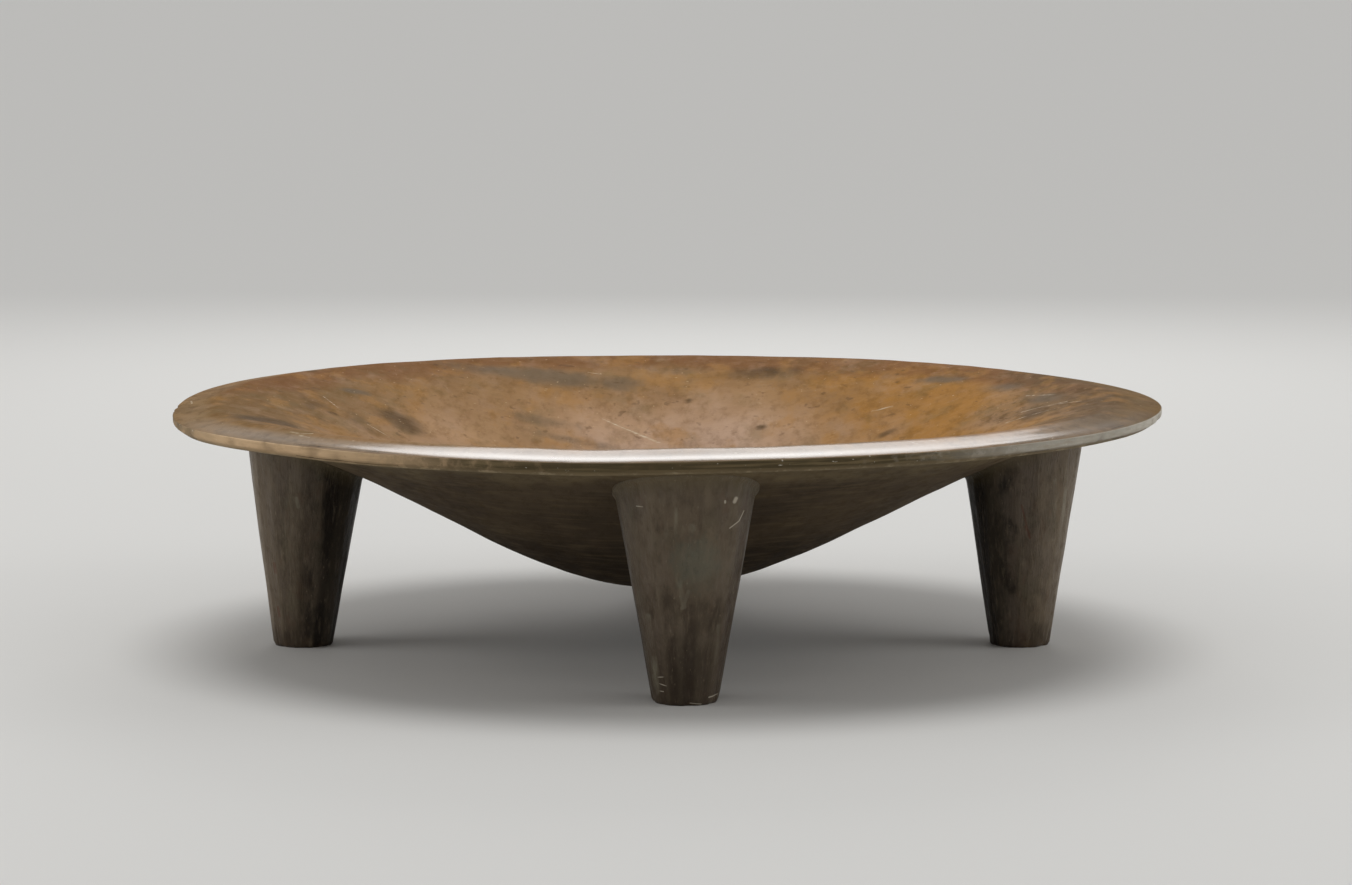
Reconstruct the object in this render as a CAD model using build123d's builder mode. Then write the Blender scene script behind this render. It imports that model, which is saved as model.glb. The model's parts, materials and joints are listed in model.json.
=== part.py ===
"""A four-legged kava bowl: a broad shallow hardwood dish on stout tapered legs.

Millimetres, +Z up. The origin is on the floor under the middle of the rim, and the front leg
stands towards -Y. The legs and the hanging lug are let into blind sockets under the dish.
"""

from build123d import *
import math
import os

os.makedirs("parts", exist_ok=True)

# Rim: a lip that slopes outwards to a narrow upright edge with a bevelled lower corner
rim_r = 340.0
rim_z = 168.0
lip_width = 32.0
lip_slope = 9.0
edge_height = 5.0
edge_under_width = 6.0
edge_under_height = 4.0
edge_top_round = 1.2
edge_under_round = 3.0
crest_round = 30.0

# Underside of the dish, as (radius, height) from the middle outwards to the flange
underside_points = [(0.0, 39.6), (85.0, 58.2), (187.0, 109.0), (294.0, 153.6)]
flange_slope = 8.0

# Hollow of the dish: it keeps one wall's distance from the underside
wall = 16.0
wall_stations = (0.0, 0.24, 0.46, 0.68, 0.84)
hollow_rim_slope = 13.0

# Legs: distance from the middle, angle about +Z, radius at the floor and radius at the head
legs = {
    "leg_front": (238.0, -87.1, 21.6, 46.5),
    "leg_right": (244.0, -1.9, 20.9, 42.0),
    "leg_back": (241.0, 88.0, 20.9, 42.0),
    "leg_left": (252.5, 181.9, 20.9, 42.0),
}
head_z = 140.0
foot_round = 2.5
head_cove_r = 8.0
head_flare = 3.0

# Round stub tenon of a leg, square to the underside, and the play in its socket
tenon_r = 16.0
tenon_depth = 9.5
glue_gap = 0.1
end_gap = 0.5

# Lug for the hanging cord: wide under the flange, drawn in to a tip that is pierced sideways
lug_angle = 135.0
lug_top = (236.0, 300.0)
lug_tip = (286.0, 102.0)
lug_tip_round = 9.0
lug_spread = 62.0
lug_spread_z = 160.0
lug_waist = 18.0
lug_waist_z = 132.0
lug_edge_round = 2.0
lug_hole = (280.0, 123.0)
lug_hole_r = 5.0
tongue_r = 268.0
tongue_size = (30.0, 10.0)
tongue_depth = 8.0

# The half sections are turned from here, clear of the legs and the lug
seam_angle = 45.0
ring_tolerance = 0.1

# Cuts start this far outside a surface and tenons this far inside their own piece
run_out = 5.0

edge_bottom_z = rim_z - edge_height
under_edge = (rim_r - edge_under_width, edge_bottom_z - edge_under_height)
crest = (rim_r - lip_width, rim_z + lip_width * math.tan(math.radians(lip_slope)))
blank_top_z = crest[1] + run_out


def climbing(degrees):
    """Direction in the half section that climbs outwards at this slope."""
    angle = math.radians(degrees)
    return (math.cos(angle), math.sin(angle))


# Half section of the underside, which the dish, the leg heads and the lug share
with BuildLine() as underside:
    Spline(*underside_points, under_edge, tangents=(climbing(0), climbing(flange_slope)))
underside_edge = underside.edges()[0]


def seat_plane(radius, angle):
    """Plane that touches the underside here. Its Z axis points out of the wood, down and outwards."""
    point = underside_edge.find_intersection_points(Axis((radius, 0, 0), (0, 1, 0)))[0]
    run = underside_edge.tangent_at(underside_edge.param_at_point(point))
    outwards = Vector(1, 0, 0).rotate(Axis.Z, angle)
    origin = outwards * radius + Vector(0, 0, point.Y)
    along = outwards * run.X + Vector(0, 0, run.Y)
    out_of_wood = outwards * run.Y - Vector(0, 0, run.X)
    return Plane(origin=origin, x_dir=along, z_dir=out_of_wood)


def radial_plane(angle):
    """Upright plane through the middle, with radius along its X axis and height along its Y axis."""
    outwards = Vector(1, 0, 0).rotate(Axis.Z, angle)
    return Plane(origin=(0, 0, 0), x_dir=outwards, z_dir=outwards.cross(Vector(0, 0, 1)))


def facing_plane(angle):
    """Upright plane through the middle that faces outwards, with height along its Y axis."""
    outwards = Vector(1, 0, 0).rotate(Axis.Z, angle)
    return Plane(origin=(0, 0, 0), x_dir=Vector(0, 0, 1).cross(outwards), z_dir=outwards)


tongue_plane = seat_plane(tongue_r, lug_angle)

# Hollow side of the dish, one wall inside the underside
inside_points = []
for station in wall_stations:
    run = underside_edge.tangent_at(station)
    inwards = Vector(-run.Y, run.X)
    inside_points.append(underside_edge.position_at(station) + inwards * wall)

with BuildPart() as bowl:
    with BuildSketch(radial_plane(seam_angle)):
        with BuildLine():
            add(underside_edge)
            Polyline(under_edge, (rim_r, edge_bottom_z), (rim_r, rim_z), crest)
            Spline(*inside_points, crest, tangents=(climbing(0), climbing(hollow_rim_slope)))
            Line(inside_points[0], underside_points[0])
        make_face()
    revolve(axis=Axis.Z)
    rings = bowl.edges().filter_by(GeomType.CIRCLE)
    crest_ring = rings.filter_by(lambda ring: abs(ring.radius - crest[0]) < ring_tolerance)
    edge_rings = rings.filter_by(lambda ring: abs(ring.radius - rim_r) < ring_tolerance)
    fillet(crest_ring, radius=crest_round)
    fillet(edge_rings.sort_by(Axis.Z)[0], radius=edge_under_round)
    fillet(edge_rings.sort_by(Axis.Z)[-1], radius=edge_top_round)
    for radius, angle, _, _ in legs.values():
        with Locations(seat_plane(radius, angle).offset(run_out)):
            Hole(radius=tenon_r + glue_gap, depth=run_out + tenon_depth + end_gap)
    with BuildSketch(tongue_plane.offset(run_out)):
        Rectangle(tongue_size[0] + 2 * glue_gap, tongue_size[1] + 2 * glue_gap)
    extrude(amount=-(run_out + tongue_depth + end_gap), mode=Mode.SUBTRACT)
bowl.part.label = "bowl"
export_step(bowl.part, "parts/bowl.step")

# Everything above the underside, which shapes the heads of the legs and of the lug
with BuildPart() as blank:
    with BuildSketch(radial_plane(seam_angle)):
        with BuildLine():
            add(underside_edge)
            Polyline(under_edge, (under_edge[0], blank_top_z), (0, blank_top_z), underside_points[0])
        make_face()
    revolve(axis=Axis.Z)

# Each leg is a tapered round shaft that spreads into a short cove where it meets the dish
for name, (radius, angle, foot_r, head_r) in legs.items():
    foot = Vector(radius, 0, 0).rotate(Axis.Z, angle)
    seat = seat_plane(radius, angle)
    spread = (head_r - foot_r) * blank_top_z / head_z
    upright = (Align.CENTER, Align.CENTER, Align.MIN)
    with BuildPart() as leg:
        with Locations(foot):
            Cone(foot_r, foot_r + spread, blank_top_z, align=upright)
        fillet(leg.edges().sort_by(Axis.Z)[0], radius=foot_round)
        add(blank.part)
        joint_line = leg.edges(Select.LAST).filter_by(lambda line: line.is_closed)
        fillet(joint_line.filter_by(GeomType.BSPLINE), radius=head_cove_r)
        with Locations(foot):
            Cone(
                foot_r + head_flare,
                foot_r + head_flare + spread,
                blank_top_z,
                align=upright,
                mode=Mode.INTERSECT,
            )
        add(blank.part, mode=Mode.SUBTRACT)
        with BuildSketch(seat.offset(run_out)):
            Circle(tenon_r)
        extrude(amount=-(run_out + tenon_depth))
    leg.part.label = name
    export_step(leg.part, f"parts/{name}.step")

# The lug has one outline seen from the side and another seen from outside
with BuildPart() as lug:
    with BuildSketch(radial_plane(lug_angle)) as side:
        with BuildLine():
            Polyline((lug_top[0], blank_top_z), (lug_top[1], blank_top_z), lug_tip, close=True)
        make_face()
        fillet(side.vertices().sort_by(Axis.Y)[0], radius=lug_tip_round)
    extrude(amount=lug_spread / 2, both=True)
    with BuildSketch(facing_plane(lug_angle)):
        with BuildLine():
            neck = Line((lug_waist / 2, 0), (lug_waist / 2, lug_waist_z))
            shoulder = TangentArc(neck @ 1, (lug_spread / 2, lug_spread_z), tangent=neck % 1)
            Polyline(shoulder @ 1, (lug_spread / 2, blank_top_z), (0, blank_top_z))
            mirror(about=Plane.YZ)
            Line((-lug_waist / 2, 0), (lug_waist / 2, 0))
        make_face()
    extrude(amount=rim_r, mode=Mode.INTERSECT)
    fillet(lug.edges().filter_by_position(Axis.Z, 0, lug_spread_z), radius=lug_edge_round)
    add(blank.part, mode=Mode.SUBTRACT)
    with BuildSketch(tongue_plane.offset(run_out)):
        Rectangle(*tongue_size)
    extrude(amount=-(run_out + tongue_depth))
    with Locations(radial_plane(lug_angle).offset(lug_waist)):
        with Locations(lug_hole):
            Hole(radius=lug_hole_r)
lug.part.label = "hanging_lug"
export_step(lug.part, "parts/hanging_lug.step")
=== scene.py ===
"""A four-legged kava bowl, carved from a dark tropical hardwood and worn by long use.

Metres, +Z up. The origin is on the floor under the middle of the rim, the front leg stands
towards -Y, and the grain of the dish runs along X.
"""

import json
import math

import bpy
import numpy as np
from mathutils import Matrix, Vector, noise
from mathutils.bvhtree import BVHTree

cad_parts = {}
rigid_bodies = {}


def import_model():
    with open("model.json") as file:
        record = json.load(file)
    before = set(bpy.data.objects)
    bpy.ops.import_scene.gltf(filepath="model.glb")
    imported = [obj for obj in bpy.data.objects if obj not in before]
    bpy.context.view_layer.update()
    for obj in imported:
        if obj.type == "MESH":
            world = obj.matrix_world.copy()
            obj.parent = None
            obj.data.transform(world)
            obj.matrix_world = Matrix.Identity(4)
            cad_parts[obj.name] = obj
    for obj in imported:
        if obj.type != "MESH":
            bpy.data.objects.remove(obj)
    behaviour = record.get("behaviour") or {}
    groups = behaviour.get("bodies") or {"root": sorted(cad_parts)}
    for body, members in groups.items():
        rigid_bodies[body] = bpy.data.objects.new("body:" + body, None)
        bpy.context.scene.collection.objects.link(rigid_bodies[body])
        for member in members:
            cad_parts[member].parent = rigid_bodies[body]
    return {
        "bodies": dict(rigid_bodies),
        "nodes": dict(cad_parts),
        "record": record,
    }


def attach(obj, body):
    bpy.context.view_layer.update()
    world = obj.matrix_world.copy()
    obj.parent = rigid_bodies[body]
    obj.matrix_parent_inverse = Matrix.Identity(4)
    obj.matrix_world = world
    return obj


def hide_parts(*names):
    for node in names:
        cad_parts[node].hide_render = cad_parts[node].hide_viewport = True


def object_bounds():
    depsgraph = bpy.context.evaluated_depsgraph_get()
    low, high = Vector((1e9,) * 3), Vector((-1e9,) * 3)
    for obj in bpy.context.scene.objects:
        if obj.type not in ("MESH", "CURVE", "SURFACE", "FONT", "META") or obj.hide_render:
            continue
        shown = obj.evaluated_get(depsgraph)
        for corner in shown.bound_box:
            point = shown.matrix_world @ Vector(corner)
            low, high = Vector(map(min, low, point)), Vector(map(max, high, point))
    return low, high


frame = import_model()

MM = 0.001
cad_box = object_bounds()
rim_r = cad_box[1].x
rim_top = cad_box[1].z

# Photograph: its width and focal length in pixels, and the camera's place and its pitch in degrees
PHOTO_WIDTH = 1352
PHOTO_FOCAL = 4456
SENSOR_WIDTH = 36.0
CAMERA_PLACE = Vector((0.006, -3.06, 0.4954))
CAMERA_PITCH = 6.64

# Dish mesh: columns round it, and the most that its rows are apart along the section
DISH_COLUMNS = 464
DISH_ROW = 4.0 * MM
# The CAD dish's own section: its angle, the least gap between points, and a corner's least turn
SECTION_ANGLE = 45.0
SECTION_GAP = 0.3 * MM
CORNER_TURN = 24.0

# How the carving strays from true: the rim dips in places, and the belly hangs to the left.
# Each dip has its angle about +Z and its half spread in degrees, and its depth
RIM_DIPS = [
    (192.0, 22.0, 5.2 * MM),
    (240.0, 32.0, 2.3 * MM),
    (261.0, 8.0, 0.8 * MM),
    (90.0, 32.0, 2.6 * MM),
    (28.0, 30.0, 1.5 * MM),
]
# The dips begin at this radius, and the belly's shift ends at BELLY_R
RIM_DIP_FROM = 150.0 * MM
BELLY_SHIFT = 6.0 * MM
BELLY_R = 290.0 * MM
# What scraping, adzing and wear leave: how deep each is, and how far apart its lumps are
RIM_WOBBLE = 0.7 * MM
RIM_WOBBLE_SIZE = 95.0 * MM
SCRAPED_DEPTH = 0.7 * MM
SCRAPED_SIZE = 60.0 * MM
ADZE_DEPTH = 0.5 * MM
ADZE_CUP = (42.0 * MM, 24.0 * MM)
UNDERSIDE_WOBBLE = 0.8 * MM
UNDERSIDE_WOBBLE_SIZE = 90.0 * MM
NICK_DEPTH = 0.9 * MM
NICK_SIZE = 13.0 * MM
# The rim's bevelled lower corner: its width, how far below the lip's crest it is, and how high
BEVEL_WIDTH = 6.5 * MM
BEVEL_DROP = 10.0 * MM
BEVEL_HEIGHT = 3.0 * MM

# Chips out of the rim's edge, as angle about +Z, half length and depth
RIM_CHIPS = [
    (-139.0, 6.0 * MM, 2.4 * MM),
    (-128.0, 4.0 * MM, 1.0 * MM),
    (-33.6, 3.5 * MM, 1.8 * MM),
    (-12.0, 7.0 * MM, 1.0 * MM),
    (64.0, 10.0 * MM, 1.8 * MM),
    (158.0, 6.0 * MM, 1.4 * MM),
]

# Legs: columns round each, rows up its shaft and through its head, and the carving on it.
# A cut's depth is a share of the leg's radius
LEG_COLUMNS = 128
LEG_ROWS = (64, 18)
LEG_HEAD_SHARE = 0.9
LEG_CUTS = 13
LEG_CUT_DEPTH = 0.027
LEG_CUT_LENGTH = 70.0 * MM
LEG_WEAR = 0.4 * MM
LEG_WOBBLE = 0.7 * MM
LEG_GROOVE = 0.3 * MM
FOOT_ROUND = 0.9 * MM
FOOT_CHIP = 1.2 * MM
HEAD_COVE = 5.0 * MM
HEAD_EDGE = 0.8 * MM
HEAD_FLARE = 1.8 * MM
# A head reaches SEAT_DEPTH into the dish. The height of its edge is found in rounds, from a
# first guess this far below the rim
SEAT_DEPTH = 2.5 * MM
SEAT_GUESS = 30.0 * MM
SEAT_ROUNDS = 12
# How far a leg leans towards +X, in degrees
LEG_LEAN = {"leg_left": 2.0}
# How high each leg is made darker towards the floor
DARKER_LOW_HEIGHT = {
    "leg_front": 160.0 * MM,
    "leg_left": 30.0 * MM,
    "leg_right": 30.0 * MM,
    "leg_back": 90.0 * MM,
}
# Patches on the front leg, which is all that lies in front of FRONT_Y: the middle (x, z) of each
FRONT_Y = -200.0 * MM
DULL_PATCH = (20.0 * MM, 94.0 * MM)
DARK_PATCH = (14.0 * MM, 20.0 * MM)

# Lug: how fine its mesh is, and the cuts and unevenness of its faces
LUG_MESH = 1.1 * MM
LUG_CUT_DEPTH = 0.5 * MM
LUG_CUT_SIZE = 14.0 * MM
LUG_WOBBLE = 0.2 * MM
LUG_WOBBLE_SIZE = 8.0 * MM


def smoothstep(value, low, high):
    """0 below low, 1 above high, and a smooth climb between them."""
    share = np.clip((value - low) / (high - low), 0, 1)
    return share * share * (3 - 2 * share)


def lumps(points, size, seed=0):
    """Smooth noise between about -1 and 1, with lumps about this far apart."""
    offset = Vector((seed * 7.31, seed * 3.17, seed * 5.93))
    flat = np.asarray(points, float).reshape(-1, 3)
    values = [noise.noise(Vector(point) / size + offset) for point in flat]
    return np.array(values).reshape(np.shape(points)[:-1])


def cups(points, seed=0):
    """Shallow round cups one unit apart: 1 in the middle of each, 0 on the ridges between them."""
    offset = Vector((seed * 2.7, seed * 4.1, 0))
    flat = np.asarray(points, float).reshape(-1, 3)
    nearest = [noise.voronoi(Vector(point) + offset)[0][0] for point in flat]
    return np.clip(1 - (np.array(nearest) / 0.75) ** 2, 0, 1).reshape(np.shape(points)[:-1])


def ring_mesh(name, rings, first, last, masks):
    """A closed mesh over rings of points, with a middle point at each end, and its masks."""
    rows, columns = rings.shape[:2]
    points = np.vstack(([first], rings.reshape(-1, 3), [last]))
    here = 1 + np.arange(rows * columns).reshape(rows, columns)
    beside = np.roll(here, -1, axis=1)
    sides = np.stack((here[:-1], beside[:-1], beside[1:], here[1:]), axis=-1).reshape(-1, 4)
    faces = sides.tolist()
    faces += [(0, b, a) for a, b in zip(here[0], beside[0])]
    faces += [(len(points) - 1, a, b) for a, b in zip(here[-1], beside[-1])]
    mesh = bpy.data.meshes.new(name)
    mesh.from_pydata(points.tolist(), [], faces)
    mesh.shade_smooth()
    for mask, values in masks.items():
        values = np.broadcast_to(values, (rows, columns))
        painted = np.concatenate(([values[0].mean()], values.ravel(), [values[-1].mean()]))
        mesh.attributes.new(mask, "FLOAT", "POINT").data.foreach_set("value", painted)
    piece = bpy.data.objects.new(name, mesh)
    bpy.context.scene.collection.objects.link(piece)
    return piece


def smooth_line(points, step):
    """Points at most a step apart on a smooth line through these ones. Sharp corners stay sharp."""
    chords = np.diff(points, axis=0)
    lengths = np.linalg.norm(chords, axis=1)
    heading = chords / lengths[:, None]
    place = np.concatenate(([0], np.cumsum(lengths)))
    slope = np.gradient(points, place, axis=0)
    turn = np.degrees(np.arccos(np.clip((heading[1:] * heading[:-1]).sum(1), -1, 1)))
    slope[0], slope[-1] = (1, 0), (-1, 0)
    leave, arrive = slope[:-1].copy(), slope[1:].copy()
    sharp = turn > CORNER_TURN
    leave[1:][sharp] = heading[1:][sharp]
    arrive[:-1][sharp] = heading[:-1][sharp]
    line = []
    for index, length in enumerate(lengths):
        for t in np.arange(0, 1, 1 / math.ceil(length / step)):
            a, b = points[index], points[index + 1]
            line.append(
                (1 + 2 * t) * (1 - t) ** 2 * a
                + t * (1 - t) ** 2 * length * leave[index]
                + t * t * (3 - 2 * t) * b
                + t * t * (t - 1) * length * arrive[index]
            )
    return np.array(line + [points[-1]])


def dish_section():
    """Half section of the CAD dish, from the middle of the underside out over the rim and in again.

    Where the CAD dish's own section lies, every point of its mesh is true to the design.
    """
    dish = frame["nodes"]["bowl"].data
    points = np.array([vertex.co for vertex in dish.vertices])
    facing = np.array([vertex.normal.z for vertex in dish.vertices])
    radius = np.hypot(points[:, 0], points[:, 1])
    angle = np.degrees(np.arctan2(points[:, 1], points[:, 0]))
    on_section = (radius < 0.1 * MM) | ((radius > 5 * MM) & (abs(angle - SECTION_ANGLE) < 0.1))
    section = np.column_stack((radius, points[:, 2]))
    below = section[on_section & (facing < 0)]
    above = section[on_section & (facing >= 0)]
    outwards = below[np.lexsort((below[:, 1], below[:, 0].round(6)))]
    inwards = above[np.lexsort((above[:, 1], -above[:, 0].round(6)))]
    line = [outwards[0]]
    for point in np.vstack((outwards, inwards)):
        if np.linalg.norm(point - line[-1]) > SECTION_GAP:
            line.append(point)
    line[0][0] = line[-1][0] = 0.0
    return smooth_line(np.array(line), DISH_ROW)


def section_normals(section):
    """Unit normals of the section that point out of the wood."""
    along = np.gradient(section, axis=0)
    normals = np.column_stack((along[:, 1], -along[:, 0]))
    return normals / np.linalg.norm(normals, axis=1)[:, None]


def rim_dip(x, y):
    """How far the dish dips here: not at all in the middle, and most at the rim."""
    angle = np.degrees(np.arctan2(y, x))
    dip = 0.0
    for middle, spread, depth in RIM_DIPS:
        off = (angle - middle + 180) % 360 - 180
        dip = dip + depth * np.exp(-((off / spread) ** 2))
    return dip * smoothstep(np.hypot(x, y), RIM_DIP_FROM, rim_r)


def belly_offset(radius):
    """How far to the left the underside hangs at this radius."""
    return BELLY_SHIFT * (1 - smoothstep(radius, 0, BELLY_R))


section = dish_section()
normals = section_normals(section)
underside_rows = section[: int(np.argmax(section[:, 0] > rim_r - BEVEL_WIDTH))]


def seat_height(x, y):
    """Height of the underside over this place on the floor, before its finest carving."""
    radius = np.hypot(x + belly_offset(np.hypot(x, y)), y)
    return np.interp(radius, underside_rows[:, 0], underside_rows[:, 1]) - rim_dip(x, y)


def carve_dish():
    """The dish: scraped smooth inside, adzed outside, with a worn and chipped rim."""
    turns = np.arange(DISH_COLUMNS) * math.tau / DISH_COLUMNS
    across = np.stack((np.cos(turns), np.sin(turns)), axis=-1)
    radius = section[1:-1, 0][:, None]
    height = section[1:-1, 1][:, None]
    out_r = normals[1:-1, 0][:, None]
    out_z = normals[1:-1, 1][:, None]
    rings = np.empty((len(section) - 2, DISH_COLUMNS, 3))
    rings[..., :2] = radius[..., None] * across
    rings[..., 2] = height

    top = smoothstep(out_z, -0.05, 0.35)
    rim = smoothstep(radius, 312 * MM, 330 * MM)
    edge = smoothstep(radius, rim_r - 3 * MM, rim_r - 0.8 * MM)
    round_rim = rings * (1, 1, 0)

    scraped = SCRAPED_DEPTH * (0.5 + 0.5 * lumps(rings, SCRAPED_SIZE, 1))
    scraped += 0.3 * SCRAPED_DEPTH * lumps(rings, 0.35 * SCRAPED_SIZE, 2)
    middle_r = rim_r / 2
    cup_place = np.empty_like(rings)
    cup_place[..., :2] = across * middle_r / ADZE_CUP[0]
    cup_place[..., 2] = radius / ADZE_CUP[1]
    strokes = cups(cup_place + 0.35 * lumps(rings, 0.05, 3)[..., None], 1)
    waves = UNDERSIDE_WOBBLE * (0.5 + 0.5 * lumps(rings, UNDERSIDE_WOBBLE_SIZE, 4))
    adzed = ADZE_DEPTH * strokes + waves
    depth = np.clip(top * scraped * (1 - 0.75 * rim) + (1 - top) * adzed * (1 - 0.6 * rim), 0, None)

    wobble = RIM_WOBBLE * (0.5 + 0.5 * lumps(round_rim, RIM_WOBBLE_SIZE, 5))
    nicks = np.clip(lumps(rings, NICK_SIZE, 6) - 0.42, 0, None) * NICK_DEPTH / 0.2
    chips = np.zeros((1, DISH_COLUMNS))
    for angle, half_length, chip_depth in RIM_CHIPS:
        off = (turns - math.radians(angle) + math.pi) % math.tau - math.pi
        chips += chip_depth * np.exp(-((off * rim_r / half_length) ** 2))
    lower_corner = np.exp(-(((height - (rim_top - BEVEL_DROP)) / BEVEL_HEIGHT) ** 2)) * edge
    inwards = rim * wobble + edge * nicks + lower_corner * chips

    push_r = -depth * out_r - inwards
    rings[..., :2] += push_r[..., None] * across
    rings[..., 2] -= depth * out_z + 0.5 * rim * top * wobble
    rings[..., 0] -= (1 - top) * belly_offset(radius)
    rings[..., 2] -= rim_dip(rings[..., 0], rings[..., 1])

    edge_face = edge * (1 - smoothstep(abs(out_z), 0.75, 0.97))
    lip = top * (1 - edge_face)
    x = rings[..., 0]
    handled = smoothstep(-rings[..., 1], 50 * MM, 215 * MM)
    handled = handled * (1 - 0.3 * smoothstep(x, 60 * MM, 210 * MM))
    handled = 0.02 + handled * (1 - 0.35 * smoothstep(-x, 90 * MM, 190 * MM))
    worn_from = 12 * MM * smoothstep(-x, 50 * MM, 180 * MM)
    lip_polish = smoothstep(radius - worn_from, 303 * MM, 310 * MM)
    lip_polish = lip_polish * (0.5 + 0.5 * smoothstep(radius, 308 * MM, 334 * MM))
    masks = {
        "top": top,
        "lip": lip * smoothstep(radius, 302 * MM, 328 * MM),
        "polish": lip * lip_polish * handled,
        "edge": edge_face,
        "strokes": (1 - top) * strokes,
        "chipped": np.clip(edge * nicks / NICK_DEPTH + lower_corner * chips / MM, 0, 1),
        # Painted light from the floor on the underside near the rim
        "flange_floor_light": (1 - top) * smoothstep(radius, 215 * MM, 300 * MM),
        # Painted shade under the middle of the dish
        "belly": (1 - top) * (1 - smoothstep(radius, 90 * MM, 190 * MM)),
        # Painted highlight along the rim's lower corner
        "corner": (1 - top) * np.exp(-(((radius - 335 * MM) / (1.6 * MM)) ** 2)),
        "bevel": (1 - top) * smoothstep(radius, 333 * MM, 336 * MM),
        # Tan and grey ends of the rim, with painted light where side light falls on them
        "tan_and_lit_left_edge": smoothstep(-x, 0.02, 0.27) * (1 - 0.5 * smoothstep(-x, 0.28, 0.33)),
        "grey_and_lit_right_edge": smoothstep(x, 0.06, 0.27) * (0.8 + 0.2 * smoothstep(x, 0.29, 0.33)),
    }
    masks.update(paint_hollow(rings, radius, height))
    floor = (0, 0, section[-1, 1])
    belly = (-BELLY_SHIFT, 0, section[0, 1])
    return ring_mesh("dish", rings, belly, floor, masks)


# Stains in the hollow, as the middle (x, y), half length, half width, turn about +Z and strength
ASH_STAINS = [
    (-98, 246, 62, 16, 2, 1.0),
    (-36, 248, 24, 13, 0, 0.8),
    (-95, 180, 34, 9, 5, 0.75),
    (-72, 163, 46, 6, 0, 0.6),
    (-224, 134, 15, 6, 30, 0.9),
    (-160, 134, 14, 12, 0, 0.45),
    (200, 187, 26, 9, -35, 0.85),
    (239, 131, 26, 12, -50, 0.7),
    (266, 62, 34, 12, -70, 0.7),
    (84, 251, 22, 14, 0, 0.5),
    (20, 270, 60, 9, -2, 0.4),
    (60, -190, 70, 30, 20, 0.8),
    (-120, -150, 50, 22, -30, 0.7),
    (30, 30, 90, 40, 10, 0.55),
    (180, -120, 45, 25, 40, 0.6),
]
DARK_STAINS = [
    (-191, 105, 20, 20, 35, 0.9),
    (-270, -70, 36, 20, 75, 1.0),
    (255, 15, 30, 12, 80, 0.7),
    (158, 120, 9, 6, 0, 0.9),
    (60, 260, 38, 14, 0, 0.7),
    (-236, 66, 30, 22, 0, 0.5),
    (68, 180, 5, 4, 0, 1.0),
    (15, 224, 4, 4, 0, 0.9),
    (-236, 61, 8, 3, 30, 0.9),
    (-173, 240, 5, 3, 0, 0.8),
    (-260, 168, 5, 4, 20, 0.9),
    (-150, -200, 26, 9, 20, 0.8),
    (90, -80, 20, 10, -20, 0.7),
]


def stain_mask(points, stains):
    """Soft oval stains on the dish, before their edges are broken up."""
    mask = np.zeros(points.shape[:-1])
    for x, y, half_length, half_width, turn, strength in stains:
        angle = math.radians(turn)
        off = points[..., :2] - (x * MM, y * MM)
        along = off[..., 0] * math.cos(angle) + off[..., 1] * math.sin(angle)
        aside = off[..., 1] * math.cos(angle) - off[..., 0] * math.sin(angle)
        away = np.hypot(along / (half_length * MM), aside / (half_width * MM))
        mask = np.maximum(mask, strength * (1 - smoothstep(away, 0.2, 1.6)))
    return mask


def paint_hollow(points, radius, height):
    """Masks for the large patches of colour in the hollow, and for its painted sheen."""
    drift = 0.05 * lumps(points, 80 * MM, 8)
    x = points[..., 0] + drift
    y = points[..., 1]
    return {
        "ash": stain_mask(points, ASH_STAINS),
        "soot": stain_mask(points, DARK_STAINS),
        # Painted sheen, lighter towards the bottom of the hollow
        "deep": 1 - smoothstep(height, 0.125, 0.165),
        "umber": 1 - smoothstep(x, -0.32, -0.10),
        "gold": smoothstep(x, 0.05, 0.22) * (1 - smoothstep(x, 0.20, 0.30)),
        "grey_end": smoothstep(x, 0.20, 0.32),
        # Partly pinkish wood and partly painted sheen in the middle of the hollow
        "rosy": np.exp(-(((x - 0.015) / 0.10) ** 2) - (((y - 0.13) / 0.10) ** 2)),
        "amber": smoothstep(radius + 0.3 * drift, 0.25, 0.30) * smoothstep(y, -0.05, 0.12),
    }


def leg_radii(name, foot):
    """Radius of the CAD leg at the floor, and how much it grows for each metre of height."""
    tree = BVHTree.FromObject(frame["nodes"][name], bpy.context.evaluated_depsgraph_get())
    low, high = 20 * MM, 100 * MM
    radii = [tree.ray_cast(foot + Vector((0, 0, z)), Vector((1, 0, 0)))[3] for z in (low, high)]
    growth = (radii[1] - radii[0]) / (high - low)
    return radii[0] - growth * low, growth


def flat_cuts(turns, heights, seed):
    """Share of a leg's radius that is left by long flat cuts down it, and the shade of each cut."""
    rng = np.random.default_rng(seed)
    facing = (np.arange(LEG_CUTS) + rng.uniform(-0.3, 0.3, LEG_CUTS)) * math.tau / LEG_CUTS
    shades = rng.uniform(0, 1, LEG_CUTS)
    left = np.ones(np.broadcast(turns, heights).shape)
    shade = np.zeros_like(left)
    for cut, angle in enumerate(facing):
        places = np.stack((heights / LEG_CUT_LENGTH, np.full_like(heights, cut * 3.7)), axis=-1)
        places = np.concatenate((places, np.full_like(places[..., :1], seed)), axis=-1)
        depth = LEG_CUT_DEPTH * (0.55 + 0.6 * lumps(places, 1.0))
        toward = np.maximum(np.cos(turns - angle), 0.5)
        shade = np.where((1 - depth) / toward < left, shades[cut], shade)
        left = np.minimum(left, (1 - depth) / toward)
    return left, shade


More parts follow.
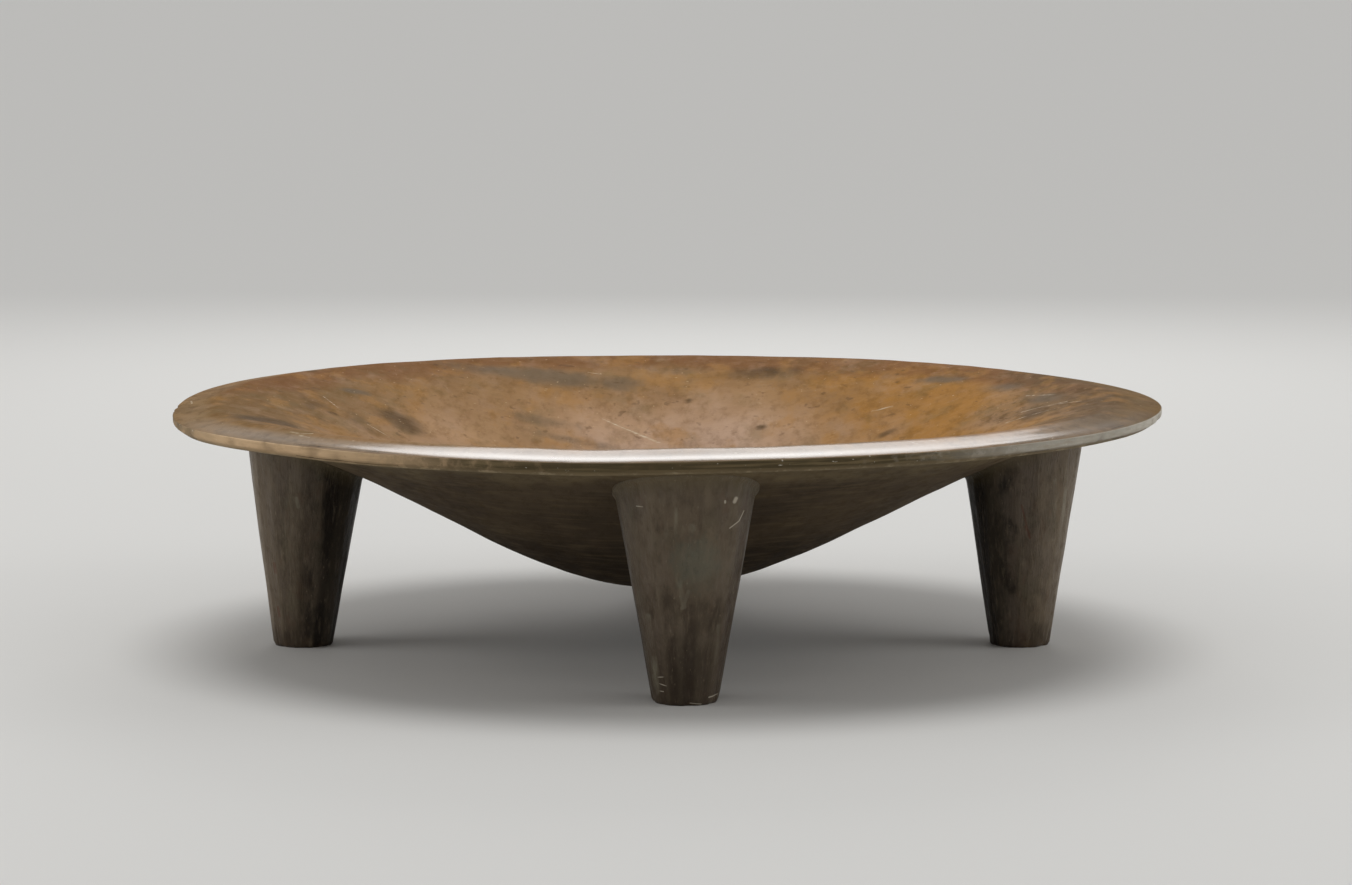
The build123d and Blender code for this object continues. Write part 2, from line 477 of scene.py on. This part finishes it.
def carve_leg(name, seed):
    """A leg: a tapered shaft with long flat cuts, a chipped foot and a head that fits the dish."""
    mounts = {mount["name"]: mount for mount in frame["record"]["mounts"]}
    foot = Vector(mounts[name.replace("leg", "foot")]["pos_m"])
    foot_r, growth = leg_radii(name, foot)
    turns = np.arange(LEG_COLUMNS)[None, :] * math.tau / LEG_COLUMNS
    low, high = LEG_ROWS
    shares = np.concatenate(
        (np.linspace(0, LEG_HEAD_SHARE, low), np.linspace(LEG_HEAD_SHARE, 1, high)[1:])
    )[:, None]
    lean = math.tan(math.radians(LEG_LEAN.get(name, 0)))

    def middle_x(z):
        return foot.x + lean * z

    seat = np.full_like(turns, rim_top - SEAT_GUESS)
    for _ in range(SEAT_ROUNDS):
        reach = foot_r + growth * seat + HEAD_FLARE
        seat = seat_height(middle_x(seat) + reach * np.cos(turns), foot.y + reach * np.sin(turns))
    heights = shares * seat
    shaft = foot_r + growth * heights
    below_head = seat - heights
    flare = HEAD_FLARE * np.clip((HEAD_COVE - below_head) / (HEAD_COVE - HEAD_EDGE), 0, 1) ** 2
    plain = 1 - smoothstep(heights, seat - HEAD_COVE, seat - HEAD_EDGE)

    around = np.stack((np.cos(turns) + 0 * heights, np.sin(turns) + 0 * heights), axis=-1)
    surface = np.concatenate((around * shaft[..., None], heights[..., None]), axis=-1)
    cuts, shade = flat_cuts(turns, heights, seed)
    wobble = LEG_WOBBLE * lumps(surface * (1, 1, 0.6), 45 * MM, seed)
    grooves = LEG_GROOVE * lumps(surface * (1, 1, 0.08), 5 * MM, seed + 1)
    round_off = np.clip(FOOT_ROUND - heights, 0, None)
    foot_round = FOOT_ROUND - np.sqrt(np.clip(FOOT_ROUND**2 - round_off**2, 0, None))
    chips = np.clip(lumps(surface, 8 * MM, seed + 2) - 0.1, 0, None)
    chips = FOOT_CHIP / 0.4 * chips * (1 - smoothstep(heights, 1 * MM, 9 * MM))
    reach = shaft * (1 - (1 - cuts) * (0.35 + 0.65 * plain)) + flare
    reach += wobble * plain + grooves - foot_round - chips - LEG_WEAR

    rings = np.empty((len(shares) + 1, LEG_COLUMNS, 3))
    rings[:-1, :, 0] = middle_x(heights) + reach * around[..., 0]
    rings[:-1, :, 1] = foot.y + reach * around[..., 1]
    rings[:-1, :, 2] = heights
    rings[-1] = rings[-2] + (0, 0, SEAT_DEPTH)
    head = rings[-1].mean(axis=0)
    outwards = foot.normalized()
    outer = around[..., 0] * outwards.x + around[..., 1] * outwards.y
    x, y, z = np.moveaxis(rings, -1, 0)
    forward = y < FRONT_Y
    dull_patch = np.hypot(x - DULL_PATCH[0], z - DULL_PATCH[1]) / 1.5
    dark_patch = np.hypot(x - DARK_PATCH[0], (z - DARK_PATCH[1]) / 2.2)
    masks = {
        # Painted light on the sides of the legs that face out, less on the front leg
        "outer": (1 - 0.25 * forward) * smoothstep(np.vstack((outer, outer[-1:])), 0.0, 1.0),
        # Painted shade on the sides that face in under the dish
        "inner_painted_shade": smoothstep(np.vstack((-outer, -outer[-1:])), -0.35, 0.75),
        # Darker towards the floor
        "darker_low": np.vstack((1 - smoothstep(heights, 0, DARKER_LOW_HEIGHT[name]), np.zeros_like(turns))),
        "dull": forward * (1 - smoothstep(dull_patch, 2 * MM, 22 * MM)),
        "dark": forward * (1 - smoothstep(dark_patch, 3 * MM, 24 * MM)),
        "chipped": np.vstack((np.clip(chips / MM, 0, 1), np.zeros_like(turns))),
        "ridge": np.vstack((smoothstep(cuts, 0.988, 1.0), np.ones_like(turns))),
        "facet": np.vstack((shade * plain, np.zeros_like(turns))),
        "head": np.vstack((1 - smoothstep(below_head, 2 * MM, 14 * MM), np.ones_like(turns))),
    }
    return ring_mesh(name.replace("leg", "carved_leg"), rings, tuple(foot), head, masks)


def carve_lug():
    """The pierced lug: the CAD solid with its edges softened and its faces whittled."""
    node = frame["nodes"]["hanging_lug"]
    block = bpy.data.objects.new("carved_lug", node.data.copy())
    bpy.context.scene.collection.objects.link(block)
    remesh = block.modifiers.new("Even mesh", "REMESH")
    remesh.mode = "VOXEL"
    remesh.voxel_size = LUG_MESH
    soften = block.modifiers.new("Worn edges", "SMOOTH")
    soften.factor = 0.5
    soften.iterations = 3
    carved = block.evaluated_get(bpy.context.evaluated_depsgraph_get())
    mesh = bpy.data.meshes.new_from_object(carved)
    block.modifiers.clear()
    block.data = mesh
    points = np.array([vertex.co for vertex in mesh.vertices])
    facing = np.array([vertex.normal for vertex in mesh.vertices])
    cut = LUG_CUT_DEPTH * cups(points / LUG_CUT_SIZE, 5)
    cut += LUG_WOBBLE * lumps(points, LUG_WOBBLE_SIZE, 6)
    mesh.vertices.foreach_set("co", (points - facing * cut[:, None]).ravel())
    mesh.shade_smooth()
    blank = ("outer", "inner_painted_shade", "darker_low", "dull", "dark", "chipped", "head", "facet")
    masks = dict.fromkeys(blank, 0.0) | {"ridge": 0.5}
    for mask, value in masks.items():
        values = np.full(len(points), value)
        mesh.attributes.new(mask, "FLOAT", "POINT").data.foreach_set("value", values)
    return block


def colour(code):
    """Linear colour of an sRGB hex value."""
    channels = [int(code[place : place + 2], 16) / 255 for place in (1, 3, 5)]
    linear = [c / 12.92 if c <= 0.04045 else ((c + 0.055) / 1.055) ** 2.4 for c in channels]
    return (*linear, 1.0)


def add(tree, kind, sockets=(), **settings):
    """Adds a shader node. Sockets go by name or number.

    Each takes a value, or the node or output that feeds it.
    """
    node = tree.nodes.new("ShaderNode" + kind)
    for name, value in settings.items():
        setattr(node, name, value)
    for name, value in dict(sockets).items():
        if isinstance(value, bpy.types.Node):
            value = next(output for output in value.outputs if output.enabled)
        if isinstance(value, bpy.types.NodeSocket):
            tree.links.new(value, node.inputs[name])
        else:
            node.inputs[name].default_value = value
    return node


def bare_material(name):
    """A material with no nodes but one, which gives the place on the object in metres."""
    material = bpy.data.materials.new(name)
    material.use_nodes = True
    tree = material.node_tree
    tree.nodes.clear()
    place = add(tree, "TexCoord").outputs["Object"]
    return material, tree, place


def wood_marks(tree, place, size, low, high, detail=3.0, roughness=0.5, seed=0):
    """Marks drawn out along the wood: none where the noise is at low, full where it is at high.

    Size is their length along X, Y and Z in metres.
    """
    scale = [1 / length for length in size]
    drawn = add(tree, "Mapping", {"Vector": place, "Location": [seed * 7.3] * 3, "Scale": scale})
    sockets = {"Vector": drawn, "Scale": 1.0, "Detail": detail, "Roughness": roughness}
    noise_value = add(tree, "TexNoise", sockets).outputs["Fac"]
    sockets = {"Value": noise_value, "From Min": low, "From Max": high}
    return add(tree, "MapRange", sockets, interpolation_type="SMOOTHSTEP").outputs["Result"]


def ragged(tree, mask, marks, spread=0.5):
    """A patch that the mesh carries, with its soft edge made ragged by these marks of the wood."""
    patch = add(tree, "Attribute", attribute_name=mask).outputs["Fac"]
    pushed = add(tree, "Math", {0: marks, 1: spread, 2: patch}, operation="MULTIPLY_ADD")
    sockets = {"Value": pushed, "From Min": 0.15 + 0.4 * spread, "From Max": 1.0 + 0.4 * spread}
    return add(tree, "MapRange", sockets, interpolation_type="SMOOTHSTEP").outputs["Result"]


def stained(tree, tone, layers):
    """Wood of this tone under layers of colour. Each has its place, its strength and its colour.

    A place is a mask's output, or the name of a mask that the mesh carries. The tone and the
    colours are sRGB hex values, or nodes that give a colour.
    """
    tone = colour(tone) if isinstance(tone, str) else tone
    for place, strength, stain in layers:
        if isinstance(place, str):
            place = add(tree, "Attribute", attribute_name=place).outputs["Fac"]
        if isinstance(stain, str):
            stain = colour(stain)
        amount = add(tree, "Math", {0: place, 1: strength}, operation="MULTIPLY")
        tone = add(tree, "Mix", {"Factor": amount, 6: tone, 7: stain}, data_type="RGBA")
    return tone


def scratches(tree, place, flatten, marks):
    """Thin straight marks between pairs of places in millimetres, each with its half width.

    Flatten shrinks the place along the direction that the marks are seen from, so that they lie on
    the surface.
    """
    place = add(tree, "VectorMath", {0: place, 1: flatten}, operation="MULTIPLY")
    found = None
    for start, end, half_width in marks:
        start, end = (Vector(c * MM * f for c, f in zip(point, flatten)) for point in (start, end))
        run = end - start
        away = add(tree, "VectorMath", {0: place, 1: start}, operation="SUBTRACT")
        sockets = {0: away, 1: run / run.length_squared}
        along = add(tree, "VectorMath", sockets, operation="DOT_PRODUCT").outputs["Value"]
        share = add(tree, "Clamp", {"Value": along})
        nearest = add(tree, "VectorMath", {0: run, "Scale": share}, operation="SCALE")
        gap = add(tree, "VectorMath", {0: away, 1: nearest}, operation="DISTANCE").outputs["Value"]
        sockets = {"Value": gap, "From Min": half_width * MM, "From Max": 0.3 * half_width * MM}
        mark = add(tree, "MapRange", sockets, interpolation_type="SMOOTHSTEP")
        if found:
            mark = add(tree, "Math", {0: found, 1: mark}, operation="MAXIMUM")
        found = mark
    return found.outputs[0]


def relief(tree, depth, layers):
    """Bump of this depth in metres, from marks that each have a share of it."""
    height = 0.0
    for marks, share in layers:
        height = add(tree, "Math", {0: marks, 1: share, 2: height}, operation="MULTIPLY_ADD")
    return add(tree, "Bump", {"Height": height, "Strength": 1.0, "Distance": depth})


# Marks on the dish are given as seen from above, and those on the legs as seen from the front
FROM_ABOVE = (1.0, 1.0, 0.0)
FROM_FRONT = (1.0, 0.15, 1.0)

# Pale scratches and nicks on the dish: start, end and half width in millimetres
DISH_SCRATCHES = [
    ((-48, 196, 0), (-26, 184, 0), 0.8),
    ((-26, 184, 0), (-6, 172, 0), 1.3),
    ((149, 163, 0), (163, 161, 0), 1.5),
    ((-243, -198, 0), (-236, -209, 0), 1.3),
    ((-236, -209, 0), (-228, -212, 0), 1.2),
    ((-236, -214, 0), (-229, -224, 0), 1.2),
    ((146, -268, 0), (158, -279, 0), 0.5),
    ((150, -262, 0), (172, -268, 0), 0.4),
    ((-331, 20, 0), (-329, 6, 0), 0.9),
    ((-60, 262, 0), (-50, 260, 0), 0.6),
    ((255, 88, 0), (273, 66, 0), 1.1),
    ((248, 40, 0), (278, 22, 0), 1.1),
    ((236, 22, 0), (268, 4, 0), 1.2),
    ((262, 30, 0), (286, 8, 0), 1.0),
    ((-245, 96, 0), (-232, 78, 0), 0.8),
    ((-212, 70, 0), (-196, 62, 0), 0.6),
]
# Dark cracks along the outside of the lip
LIP_CRACKS = [
    ((-236, -240, 0), (-205, -267, 0), 0.5),
    ((-205, -267, 0), (-168, -292, 0), 0.4),
    ((290, -172, 0), (300, -152, 0), 0.5),
    ((228, -248, 0), (244, -233, 0), 0.4),
]
# Marks on the legs, in the same way. Two of the nicks are painted highlights
LEG_NICKS_AND_GLINTS = [
    ((44, -270, 135), (43, -270, 133), 1.7),
    ((37, -275, 134), (37, -275, 133), 0.9),
    ((49, -261, 126), (46, -264, 120), 0.5),
    ((46, -264, 120), (40, -269, 116), 0.5),
    ((-19, -270, 130), (-15, -274, 130), 0.5),
    ((-6, -256, 18), (-1, -256, 19), 0.4),
    ((-5, -256, 14), (0, -256, 13), 0.4),
    ((-7, -255, 9), (-2, -255, 9), 0.4),
    # These two, along the front foot's bottom edge, are painted highlights
    ((27, -253, 5), (35, -245, 6), 0.6),
    ((15, -257, 2), (22, -256, 1), 0.5),
]
LEG_SCRAPES = [
    ((0, -278, 116), (0, -276, 103), 2.2),
    ((6, -279, 130), (6, -277, 112), 1.6),
    ((16, -280, 118), (17, -277, 100), 3.2),
    ((22, -279, 110), (24, -277, 92), 2.2),
    ((7, -274, 88), (11, -271, 66), 2.4),
    ((14, -272, 76), (10, -271, 65), 1.8),
    ((-12, -264, 58), (-11, -261, 48), 3.0),
    ((-8, -258, 30), (-7, -256, 8), 3.4),
    ((33, -261, 52), (31, -254, 24), 1.8),
    ((-253, -45, 106), (-252, -45, 100), 1.8),
    ((265, -40, 118), (265, -33, 76), 1.8),
    ((273, -35, 124), (272, -28, 89), 2.0),
]
LEG_BRUISES = [
    ((-270, -30, 59), (-269, -30, 53), 1.6),
    ((-268, -27, 28), (-267, -27, 22), 1.4),
    ((242, -44, 101), (248, -40, 78), 1.0),
    ((245, -42, 86), (246, -42, 84), 1.6),
]


def oiled_dish_wood():
    """Vesi hardwood, adzed, scraped and oiled.

    It gives a warm brown hollow with soft clouds and fine streaks, grey where drink has stood, a
    lip polished by hands, and a dark underside. Painted sheen lightens the middle of the hollow,
    painted light lightens both ends of the rim's edge and the underside near the rim, a painted
    highlight runs along the rim's lower corner, and painted shade darkens the underside, most
    under its middle.
    """
    material, tree, place = bare_material("oiled_dish_wood")
    plan = add(tree, "VectorMath", {0: place, 1: FROM_ABOVE}, operation="MULTIPLY")
    clouds = wood_marks(tree, plan, (90 * MM, 60 * MM, 1.0), 0.36, 0.66, 3.0)
    patches = wood_marks(tree, plan, (30 * MM, 42 * MM, 1.0), 0.36, 0.70, 4.0, 0.55)
    ochre = wood_marks(tree, plan, (26 * MM, 36 * MM, 1.0), 0.50, 0.66, 5.0, 0.6, 1)
    olive = wood_marks(tree, plan, (28 * MM, 34 * MM, 1.0), 0.50, 0.70, 5.0, 0.6, 2)
    rosy = wood_marks(tree, plan, (24 * MM, 34 * MM, 1.0), 0.50, 0.70, 5.0, 0.6, 3)
    mottle = wood_marks(tree, place, (8 * MM, 16 * MM, 8 * MM), 0.44, 0.72, 5.0, 0.65)
    streaks = wood_marks(tree, plan, (16 * MM, 7 * MM, 1.0), 0.50, 0.76, 4.0, 0.6)
    dark_streaks = wood_marks(tree, plan, (18 * MM, 8 * MM, 1.0), 0.56, 0.80, 4.0, 0.6, 1)
    layers = wood_marks(tree, place, (70 * MM, 12 * MM, 1.8 * MM), 0.44, 0.68, 3.0, 0.55)
    fine = wood_marks(tree, plan, (16 * MM, 1.6 * MM, 1.0), 0.35, 0.75, 3.0)
    pores = wood_marks(tree, place, (3.2 * MM, 4.5 * MM, 3.2 * MM), 0.68, 0.80, 3.0, 0.6)
    flecks = wood_marks(tree, place, (3.5 * MM, 4.5 * MM, 2.0 * MM), 0.69, 0.77, 2.0, 0.6, 1)
    dents = wood_marks(tree, place, (9 * MM, 9 * MM, 7 * MM), 0.64, 0.74, 2.0, 0.5)
    scratched = scratches(tree, place, FROM_ABOVE, DISH_SCRATCHES)
    scratched = add(tree, "Math", {0: scratched, 1: fine}, operation="MULTIPLY")
    cracked = scratches(tree, place, FROM_ABOVE, LIP_CRACKS)

    hollow = stained(tree, "#99744a", [
        # Painted sheen towards the bottom of the hollow
        ("deep", 0.85, "#bf9a77"),
        (clouds, 0.45, "#805f39"),
        (patches, 0.45, "#b18b5d"),
        (ragged(tree, "umber", patches, 0.3), 0.85, "#745425"),
        (ragged(tree, "gold", patches, 0.4), 0.95, "#a8752d"),
        # Partly pinkish wood, partly painted sheen
        (ragged(tree, "rosy", patches, 0.3), 0.75, "#c8aa95"),
        (ragged(tree, "amber", patches, 0.4), 0.85, "#7a4d1f"),
        (ragged(tree, "grey_end", mottle, 0.3), 0.9, "#5a4220"),
        (olive, 0.35, "#705f3a"),
        (ochre, 0.40, "#b07f3f"),
        (rosy, 0.30, "#b09074"),
        (streaks, 0.12, "#c6a376"),
        (dark_streaks, 0.16, "#5e4325"),
        (mottle, 0.35, "#6b4e2e"),
        (ragged(tree, "ash", patches, 0.4), 0.75, "#6a5d4b"),
        (ragged(tree, "soot", patches, 0.4), 0.75, "#4a3820"),
        (dents, 0.40, "#573f27"),
        (pores, 0.50, "#4a341b"),
        (flecks, 0.50, "#d2b790"),
    ])
    lip = stained(tree, "#84683f", [
        # Painted light on the lip's left end, over its tan
        ("tan_and_lit_left_edge", 0.85, "#bd9f79"),
        (patches, 0.6, "#6c563c"),
        (mottle, 0.5, "#5a452e"),
        (flecks, 0.5, "#c9b69c"),
    ])
    # Painted light: the rim's edge stays dark at the front and is lighter at both ends
    tan_and_lit_left_side = ragged(tree, "tan_and_lit_left_edge", mottle, 0.3)
    edge = stained(tree, "#504632", [
        (layers, 0.8, "#76674b"),
        (tan_and_lit_left_side, 0.95, "#dcbd98"),
        (ragged(tree, "grey_and_lit_right_edge", mottle, 0.3), 0.95, "#c6c0b4"),
        (mottle, 0.40, "#66563f"),
        (layers, 0.25, "#6a5b45"),
        (flecks, 0.7, "#e6ddcd"),
        (pores, 0.6, "#40342a"),
    ])
    # The underside's own dark wood, darkened further with painted shade
    underside = stained(tree, "#524638", [
        (clouds, 0.6, "#655642"),
        # Painted light from the floor, under the rim
        (ragged(tree, "flange_floor_light", patches), 0.7, "#7d6e52"),
        # Painted shade, deepest under the middle
        (ragged(tree, "belly", patches), 0.6, "#26201a"),
        (layers, 0.45, "#76664c"),
        (dark_streaks, 0.4, "#3a2e24"),
        (mottle, 0.35, "#3e3226"),
        ("strokes", 0.25, "#3a2e24"),
        # Painted highlight along the rim's lower corner
        (ragged(tree, "corner", mottle, 0.6), 0.7, "#a39478"),
    ])
    # Painted light on the left of the bevel too
    bevel = add(tree, "Attribute", attribute_name="bevel").outputs["Fac"]
    bevel_tan_and_lit = add(tree, "Math", {0: bevel, 1: tan_and_lit_left_side}, operation="MULTIPLY")
    tone = stained(tree, underside, [
        ("top", 1.0, hollow),
        (ragged(tree, "lip", patches), 0.6, lip),
        ("polish", 0.35, "#4a4238"),
        ("edge", 1.0, edge),
        (bevel_tan_and_lit, 0.5, "#c2a27c"),
        ("chipped", 0.3, "#4a3a2a"),
        (cracked, 0.8, "#2e2318"),
        (scratched, 0.9, "#e0d2b8"),
    ])

    dull = add(tree, "Math", {0: mottle, 1: 0.12, 2: 0.62}, operation="MULTIPLY_ADD")
    polish = add(tree, "Attribute", attribute_name="polish").outputs["Fac"]
    shader = add(tree, "BsdfPrincipled", {
        "Base Color": tone, "Roughness": dull, "IOR": 1.5, "Specular IOR Level": 0.04,
        "Coat Weight": polish, "Coat Roughness": 0.16,
        "Normal": relief(tree, 0.2 * MM, ((fine, 0.4), (streaks, 0.3), (mottle, 0.6))),
    })
    add(tree, "OutputMaterial", {"Surface": shader})
    return material


def handled_leg_wood():
    """The same hardwood with the grain upright, blackened by age and smoke.

    It gives a grey-brown skin with faint upright streaks, rubbed ridges between the flat cuts, and
    bruised brown feet. Painted light makes the sides that face out lighter, painted shade blackens
    the sides that face in under the dish, each leg is darker towards the floor, and two painted
    highlights lie on the front foot.
    """
    material, tree, place = bare_material("handled_leg_wood")
    clouds = wood_marks(tree, place, (30 * MM, 30 * MM, 55 * MM), 0.38, 0.64)
    patches = wood_marks(tree, place, (13 * MM, 13 * MM, 26 * MM), 0.40, 0.68, 5.0, 0.6)
    olive = wood_marks(tree, place, (12 * MM, 12 * MM, 22 * MM), 0.50, 0.68, 5.0, 0.6, 1)
    rust = wood_marks(tree, place, (9 * MM, 9 * MM, 16 * MM), 0.52, 0.70, 4.0, 0.6, 2)
    streaks = wood_marks(tree, place, (2.6 * MM, 2.6 * MM, 22 * MM), 0.50, 0.74, 4.0, 0.6)
    dark_streaks = wood_marks(tree, place, (3 * MM, 3 * MM, 26 * MM), 0.56, 0.78, 4.0, 0.6, 1)
    mottle = wood_marks(tree, place, (5 * MM, 5 * MM, 8 * MM), 0.45, 0.72, 5.0, 0.65)
    fine = wood_marks(tree, place, (1.3 * MM, 1.3 * MM, 14 * MM), 0.35, 0.75, 3.0)
    scuffs = wood_marks(tree, place, (1.2 * MM, 1.2 * MM, 7 * MM), 0.66, 0.78, 2.0, 0.6)
    flecks = wood_marks(tree, place, (1.5 * MM, 1.5 * MM, 2.5 * MM), 0.70, 0.80, 2.0, 0.6)
    nicked_and_glinting = scratches(tree, place, FROM_FRONT, LEG_NICKS_AND_GLINTS)
    scraped = scratches(tree, place, FROM_FRONT, LEG_SCRAPES)
    scraped = add(tree, "Math", {0: scraped, 1: patches}, operation="MULTIPLY")
    bruised = scratches(tree, place, FROM_FRONT, LEG_BRUISES)

    tone = stained(tree, "#695d50", [
        (clouds, 0.55, "#4c3f2e"),
        (patches, 0.5, "#6b5d4b"),
        (olive, 0.35, "#4f4c38"),
        (rust, 0.40, "#5c402e"),
        # Painted light on the sides that face out
        (ragged(tree, "outer", patches, 0.5), 0.6, "#7c6d59"),
        ("facet", 0.35, "#3c3023"),
        # Darker towards the floor
        (ragged(tree, "darker_low", patches, 0.6), 0.68, "#2b1e12"),
        # Painted shade on the sides that face in under the dish
        (ragged(tree, "inner_painted_shade", patches, 0.5), 0.92, "#161009"),
        (ragged(tree, "dull", mottle, 0.6), 0.45, "#6a7062"),
        (streaks, 0.40, "#7a6d5a"),
        (dark_streaks, 0.40, "#30261a"),
        (mottle, 0.35, "#382c1f"),
        (ragged(tree, "dark", patches, 0.3), 0.45, "#20160e"),
        ("ridge", 0.15, "#6c614e"),
        ("head", 0.45, "#62563b"),
        ("chipped", 0.55, "#665540"),
        (scuffs, 0.45, "#94866f"),
        (flecks, 0.35, "#94876e"),
        (scraped, 0.5, "#8b8673"),
        (bruised, 0.6, "#5c3a2a"),
        # Pale nicks, and two painted highlights on the front foot
        (nicked_and_glinting, 0.75, "#cfc5b2"),
    ])
    dull = add(tree, "Math", {0: mottle, 1: 0.15, 2: 0.42}, operation="MULTIPLY_ADD")
    shader = add(tree, "BsdfPrincipled", {
        "Base Color": tone, "Roughness": dull, "IOR": 1.5, "Specular IOR Level": 0.2,
        "Normal": relief(tree, 0.3 * MM, ((fine, 0.5), (streaks, 0.6), (mottle, 0.6))),
    })
    add(tree, "OutputMaterial", {"Surface": shader})
    return material


# Softboxes: place, what each faces, width and height in metres, and how bright the cloth is
# beside white paper
SOFTBOXES = {
    "behind": ((0.06, 2.3, 1.38), (0, -0.3, 0.17), (1.10, 1.0), 2.75),
    "left": ((-2.0, -0.3, 0.9), (0, 0, 0.12), (1.2, 1.2), 1.85),
    "right": ((2.0, -0.3, 0.9), (0, 0, 0.12), (1.2, 1.2), 1.85),
}
# Light from straight above: its strength, and how wide it is in degrees
SKYLIGHT = (1.0, 36.0)
# Even light from all round, and the floor: its radius in metres and its number of sides
ROOM_LIGHT = 0.38
FLOOR_R = 30.0
FLOOR_SIDES = 96


def light_studio():
    """Soft light from above, behind and both sides, on a plain pale floor."""
    for name, (place, facing, (width, height), brightness) in SOFTBOXES.items():
        cloth = bpy.data.lights.new(name, "AREA")
        cloth.shape = "RECTANGLE"
        cloth.size, cloth.size_y = width, height
        cloth.energy = brightness * math.pi * width * height
        box = bpy.data.objects.new(name, cloth)
        box.location = place
        box.rotation_euler = (Vector(facing) - Vector(place)).to_track_quat("-Z", "Y").to_euler()
        box.visible_camera = False
        bpy.context.scene.collection.objects.link(box)

    sky = bpy.data.lights.new("above", "SUN")
    sky.energy, sky.angle = SKYLIGHT[0], math.radians(SKYLIGHT[1])
    bpy.context.scene.collection.objects.link(bpy.data.objects.new("above", sky))

    world = bpy.data.worlds.new("room")
    world.use_nodes = True
    air = world.node_tree.nodes["Background"]
    air.inputs["Color"].default_value = colour("#ffffff")
    air.inputs["Strength"].default_value = ROOM_LIGHT
    bpy.context.scene.world = world

    corners = np.arange(FLOOR_SIDES) * math.tau / FLOOR_SIDES
    outline = [(FLOOR_R * math.cos(c), FLOOR_R * math.sin(c), 0) for c in corners]
    mesh = bpy.data.meshes.new("floor")
    mesh.from_pydata(outline, [], [range(FLOOR_SIDES)])
    floor = bpy.data.objects.new("floor", mesh)
    bpy.context.scene.collection.objects.link(floor)
    paper, tree, _ = bare_material("matt_pale_paper")
    shader = add(tree, "BsdfPrincipled", {"Base Color": colour("#dddcd9"), "Roughness": 0.9})
    add(tree, "OutputMaterial", {"Surface": shader})
    mesh.materials.append(paper)


def place_camera():
    """The camera, at the photograph's distance, height and angle."""
    camera = bpy.data.objects.new("camera", bpy.data.cameras.new("camera"))
    camera.data.sensor_width = SENSOR_WIDTH
    camera.data.lens = PHOTO_FOCAL / PHOTO_WIDTH * SENSOR_WIDTH
    camera.location = CAMERA_PLACE
    camera.rotation_euler = (math.radians(90 - CAMERA_PITCH), 0, 0)
    bpy.context.scene.collection.objects.link(camera)
    bpy.context.scene.camera = camera


dish_wood = oiled_dish_wood()
leg_wood = handled_leg_wood()

pieces = {"bowl": (carve_dish(), dish_wood, "dish_wood")}
for seed, leg in enumerate(("leg_front", "leg_right", "leg_back", "leg_left")):
    pieces[leg] = (carve_leg(leg, 11 + 5 * seed), leg_wood, "leg_wood")
pieces["hanging_lug"] = (carve_lug(), leg_wood, "leg_wood")

for node, (piece, wood, slot) in pieces.items():
    piece.data.materials.clear()
    piece.data.materials.append(wood)
    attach(piece, next(iter(frame["bodies"])))
    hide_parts(node)

place_camera()
light_studio()
bpy.context.scene.view_settings.view_transform = "Standard"
